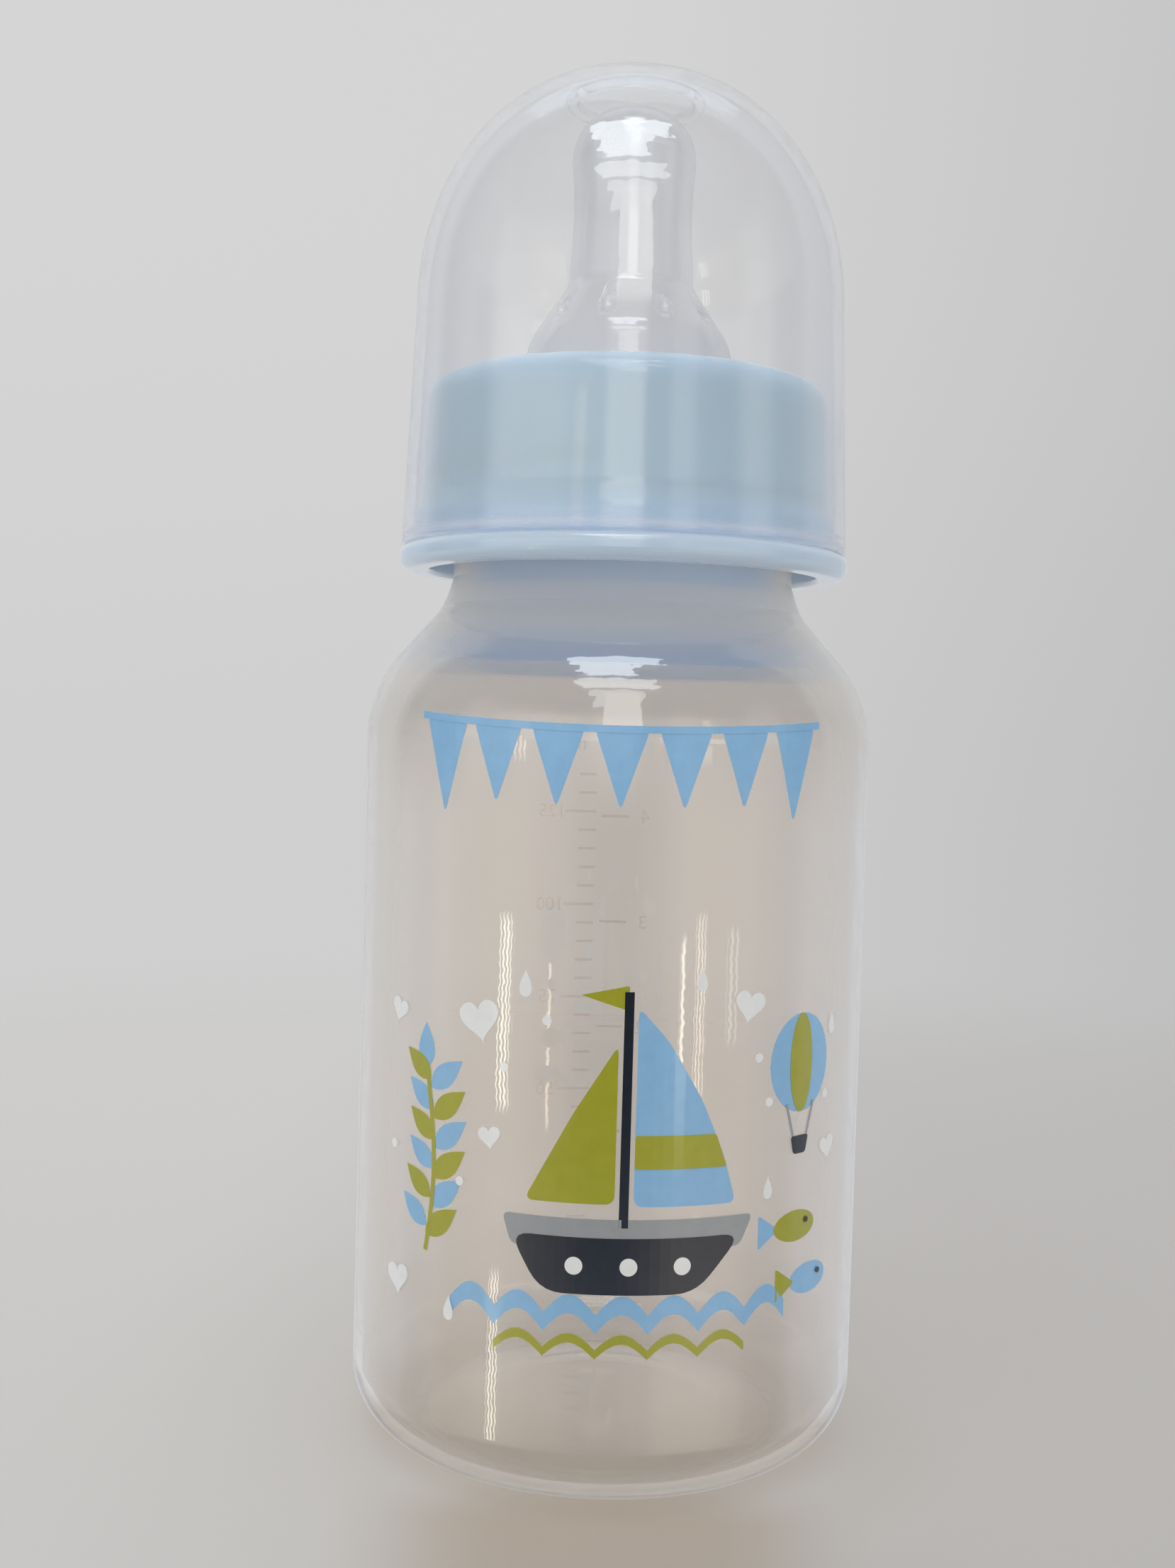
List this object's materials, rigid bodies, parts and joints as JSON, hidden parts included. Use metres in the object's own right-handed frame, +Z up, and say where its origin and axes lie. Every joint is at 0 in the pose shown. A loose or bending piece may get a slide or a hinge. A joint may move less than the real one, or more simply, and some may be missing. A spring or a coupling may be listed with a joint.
{
  "type": "baby bottle",
  "caption": "Clear baby bottle with a silicone teat held by a light blue screw ring, under a clear domed hood that pulls off.",
  "frame": {"origin": "centre of the ring that the bottle stands on, on the table", "axes": "+Z up along the bottle's axis to the hood's crown; +Y away from the printed front, so the print faces -Y; +X to the right of the print"},
  "size_m": [0.054, 0.054, 0.1452],
  "materials": {
    "clear_bottle": "gloss, slightly milky clear polypropylene",
    "silicone": "smooth clear silicone",
    "blue_ring": "gloss, light blue moulded polypropylene",
    "clear_hood": "gloss, clear polypropylene"
  },
  "bodies": {
    "bottle": {"bottle_body": "clear_bottle"},
    "teat": {"silicone_teat": "silicone"},
    "ring": {"screw_ring": "blue_ring"},
    "hood": {"clear_hood": "clear_hood"}
  },
  "joints": [
    {"name": "teat_rise", "type": "slide", "parent": "bottle", "child": "teat", "axis": [0, 0, 1], "range_m": [0, 0.006]},
    {"name": "ring_turn", "type": "hinge", "parent": "teat", "child": "ring", "pos_m": [0, 0, 0.1], "axis": [0, 0, 1], "range_deg": [0, 540]},
    {"name": "hood_lift", "type": "slide", "parent": "ring", "child": "hood", "axis": [0, 0, 1], "range_m": [0, 0.055]}
  ],
  "couplings": [
    {"joint": "teat_rise", "follows": "ring_turn", "m_per_rad": 0.00063662}
  ]
}
